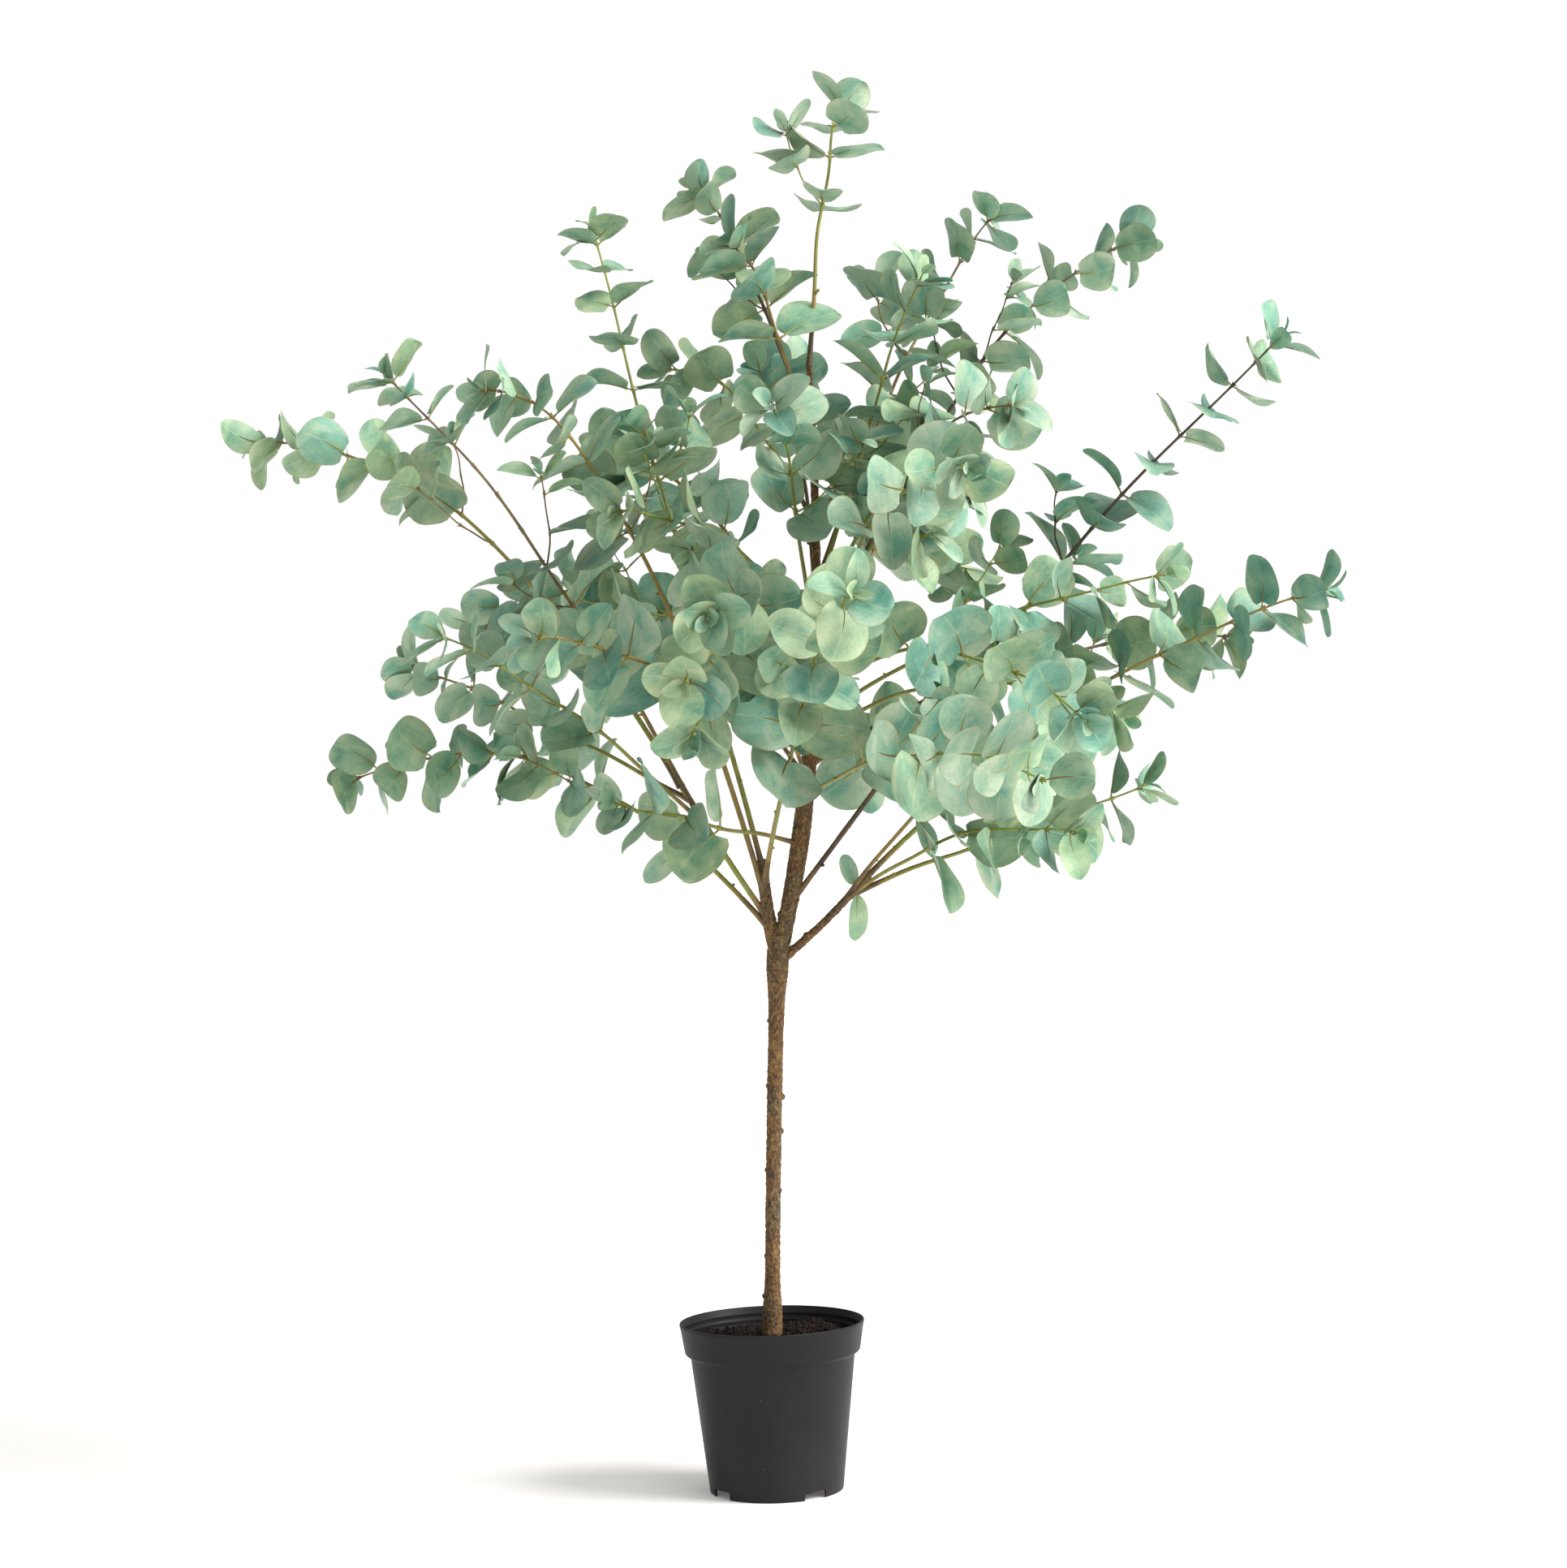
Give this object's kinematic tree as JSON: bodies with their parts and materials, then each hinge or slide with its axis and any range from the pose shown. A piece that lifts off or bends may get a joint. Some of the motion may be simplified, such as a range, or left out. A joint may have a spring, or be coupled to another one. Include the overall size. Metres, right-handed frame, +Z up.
{
  "type": "artificial eucalyptus tree in a nursery pot",
  "caption": "Artificial silver dollar eucalyptus tree: a slim bark-textured trunk, upswept limbs and round grey-green leaves in pairs, standing in a black nursery pot of dark soil.",
  "frame": {"origin": "centre of the pot's flat underside, on the floor", "axes": "+Z up the trunk, +X to the tree's right as seen from the front, +Y towards its back"},
  "size_m": [1.2305, 1.243, 1.5195],
  "materials": {
    "pot": "satin black moulded polypropylene",
    "soil": "dark crumbly coir over a cement plug",
    "bark": "matt moulded bark, brown and tan",
    "bough": "matt olive green plastic over wire",
    "leaf": "matt printed cloth leaves, grey-green"
  },
  "bodies": {
    "root": {"pot": "pot", "soil": "soil", "trunk": "bark", "leader": "bark", "left_limb": "bark", "low_limb": "bark", "left_bough": "bough", "bough_lower_left": "bough", "bough_far_left": "bough", "bough_high_left": "bough", "bough_top_left": "bough", "bough_high_right": "bough", "bough_far_right_high": "bough", "bough_right_low": "bough", "bough_far_right": "bough", "bough_lower_right": "bough", "bough_front_right": "bough", "spray_lower_left": "leaf", "spray_low_mid_left": "leaf", "spray_mid_left": "leaf", "spray_far_left": "leaf", "spray_upper_left": "leaf", "spray_high_left": "leaf", "spray_top_left": "leaf", "spray_inner_left": "leaf", "spray_crest_mid": "leaf", "spray_crest_left": "leaf", "spray_leader_top": "leaf", "spray_back_high": "leaf", "spray_crest_right": "leaf", "spray_crest_far_right": "leaf", "spray_high_right": "leaf", "spray_mid_right": "leaf", "spray_front_mid_right": "leaf", "spray_right": "leaf", "spray_far_right_high": "leaf", "spray_right_low": "leaf", "spray_far_right": "leaf", "spray_lower_right": "leaf", "spray_mid_low_right": "leaf", "spray_low_right": "leaf", "spray_low_front_right": "leaf", "spray_front_left": "leaf", "spray_front_right": "leaf", "spray_front_far_left": "leaf", "spray_front_low": "leaf", "spray_front_low_right": "leaf", "spray_front_right_rosette": "leaf", "spray_front_high": "leaf", "spray_front_mid": "leaf", "spray_front_upper_mid": "leaf", "spray_front_upper_left": "leaf", "spray_low_front_left": "leaf", "spray_back_left": "leaf", "spray_back_low_left": "leaf", "spray_back_upper_left": "leaf", "spray_back_middle": "leaf", "spray_back_low_right": "leaf", "spray_back_right": "leaf", "spray_back_upper_right": "leaf"}
  },
  "joints": []
}
